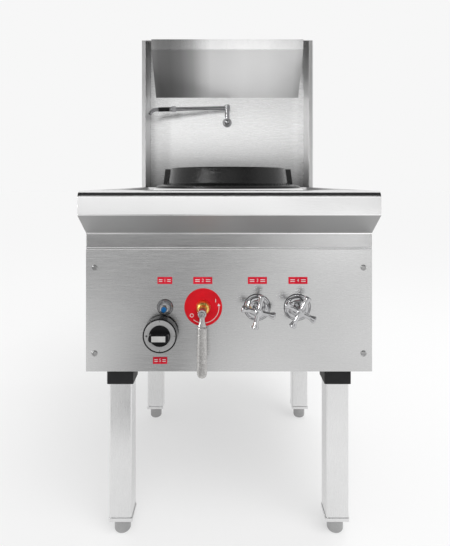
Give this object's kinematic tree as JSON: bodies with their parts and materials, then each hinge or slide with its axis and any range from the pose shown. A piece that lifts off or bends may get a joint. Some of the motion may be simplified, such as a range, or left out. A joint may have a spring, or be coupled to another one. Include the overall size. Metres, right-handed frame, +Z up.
{
  "type": "wok range",
  "caption": "Freestanding gas wok range: sheet-steel body on legs, cast wok ring, panel controls and a tall splash column with a swing water tap.",
  "frame": {"origin": "on the floor under the middle of the range's overall box", "axes": "+X to the user's right, +Y to the back, +Z up; the controls face -Y"},
  "size_m": [0.6, 0.9, 1.254],
  "materials": {
    "stainless_sheet": "brushed, satin",
    "stainless_deck": "brushed, bright",
    "stainless_leg": "brushed, satin",
    "steel_frame": "dull galvanised",
    "black_socket": "moulded, satin",
    "foot_metal": "cast, satin",
    "zinc_screw": "plated",
    "cast_iron": "black, slightly rough",
    "firebrick": "rough refractory",
    "brass": "turned",
    "burner_steel": "dull cast",
    "gas_pipe": "dull galvanised",
    "water_pipe": "dull copper",
    "chrome": "polished",
    "black_grip": "satin",
    "red_disc": "enamel, satin",
    "red_label": "satin",
    "lever_metal": "cast, worn",
    "knob_plastic": "satin",
    "knob_ring_metal": "satin",
    "white_marker": "satin",
    "spindle_steel": "turned",
    "button_blue": "satin",
    "electrode_ceramic": "glazed"
  },
  "bodies": {
    "range": {"front_nose": "stainless_sheet", "upper_rail": "stainless_sheet", "control_panel": "stainless_sheet", "panel_screws": "zinc_screw", "label_plates": "red_label", "carcass_panels": "stainless_sheet", "base_frame": "steel_frame", "leg_sockets": "black_socket", "legs": "stainless_leg", "leg_plugs": "foot_metal", "deck_pan": "stainless_deck", "deck_gutter": "stainless_sheet", "ring_collar": "stainless_deck", "chamber_shell": "steel_frame", "refractory_lining": "firebrick", "chamber_bearers": "steel_frame", "burner_body": "cast_iron", "burner_jets": "brass", "mixing_tube": "burner_steel", "gas_injector": "brass", "gas_manifold": "gas_pipe", "main_valve": "brass", "dial_plate": "red_disc", "pilot_valve": "brass", "igniter_body": "chrome", "pilot_burner": "brass", "spark_electrode": "electrode_ceramic", "tap_valves": "chrome", "tap_flanges": "chrome", "water_manifold": "water_pipe", "faucet_pipe": "water_pipe", "deck_spray_bar": "chrome", "splash_wings": "stainless_sheet", "splash_back": "stainless_sheet", "column_casing": "stainless_sheet", "column_top_strips": "stainless_sheet", "flue_riser": "stainless_sheet", "flue_box": "stainless_sheet", "flue_cowl": "stainless_sheet", "flue_guard": "stainless_sheet", "faucet_stand": "chrome"},
    "foot_front_left": {"foot_front_left": "foot_metal"},
    "foot_front_right": {"foot_front_right": "foot_metal"},
    "foot_rear_left": {"foot_rear_left": "foot_metal"},
    "foot_rear_right": {"foot_rear_right": "foot_metal"},
    "ring": {"wok_ring": "cast_iron"},
    "strainer": {"strainer_basket": "stainless_deck"},
    "lever": {"lever_stem": "lever_metal", "lever_grip": "lever_metal"},
    "spindle": {"pilot_spindle": "spindle_steel"},
    "knob": {"pilot_knob": "knob_plastic", "knob_dial_ring": "knob_ring_metal", "knob_marker": "white_marker"},
    "button": {"igniter_button": "button_blue"},
    "tap_left": {"tap_handle_left": "chrome"},
    "tap_right": {"tap_handle_right": "chrome"},
    "faucet": {"faucet_arm": "chrome", "faucet_nut": "chrome", "faucet_grip": "black_grip", "faucet_spout": "chrome"}
  },
  "joints": [
    {"name": "foot_front_left_adjust", "type": "slide", "parent": "range", "child": "foot_front_left", "axis": [0, 0, 1], "range_m": [-0.025, 0]},
    {"name": "foot_front_right_adjust", "type": "slide", "parent": "range", "child": "foot_front_right", "axis": [0, 0, 1], "range_m": [-0.025, 0]},
    {"name": "foot_rear_left_adjust", "type": "slide", "parent": "range", "child": "foot_rear_left", "axis": [0, 0, 1], "range_m": [-0.025, 0]},
    {"name": "foot_rear_right_adjust", "type": "slide", "parent": "range", "child": "foot_rear_right", "axis": [0, 0, 1], "range_m": [-0.025, 0]},
    {"name": "ring_lift", "type": "slide", "parent": "range", "child": "ring", "axis": [0, 0, 1], "range_m": [0, 0.12]},
    {"name": "strainer_lift", "type": "slide", "parent": "range", "child": "strainer", "axis": [0, 0, 1], "range_m": [0, 0.06]},
    {"name": "lever_turn", "type": "hinge", "parent": "range", "child": "lever", "pos_m": [-0.054, -0.436, 0.491], "axis": [0, -1, 0], "range_deg": [0, 90]},
    {"name": "spindle_push", "type": "slide", "parent": "range", "child": "spindle", "axis": [0, 1, 0], "range_m": [0, 0.005], "stiffness_N_per_m": 600, "springref_m": -0.004},
    {"name": "knob_turn", "type": "hinge", "parent": "spindle", "child": "knob", "pos_m": [-0.1415, -0.418, 0.4395], "axis": [0, -1, 0], "range_deg": [0, 180]},
    {"name": "button_press", "type": "slide", "parent": "range", "child": "button", "axis": [0, 1, 0], "range_m": [0, 0.006], "stiffness_N_per_m": 500, "springref_m": -0.003},
    {"name": "tap_left_turn", "type": "hinge", "parent": "range", "child": "tap_left", "pos_m": [0.059, -0.429, 0.491], "axis": [0, -1, 0], "range_deg": [0, 540]},
    {"name": "tap_right_turn", "type": "hinge", "parent": "range", "child": "tap_right", "pos_m": [0.143, -0.429, 0.491], "axis": [0, -1, 0], "range_deg": [0, 540]},
    {"name": "faucet_swing", "type": "hinge", "parent": "range", "child": "faucet", "pos_m": [0, 0.35, 1.027], "axis": [0, 0, 1], "range_deg": [0, 150]}
  ]
}
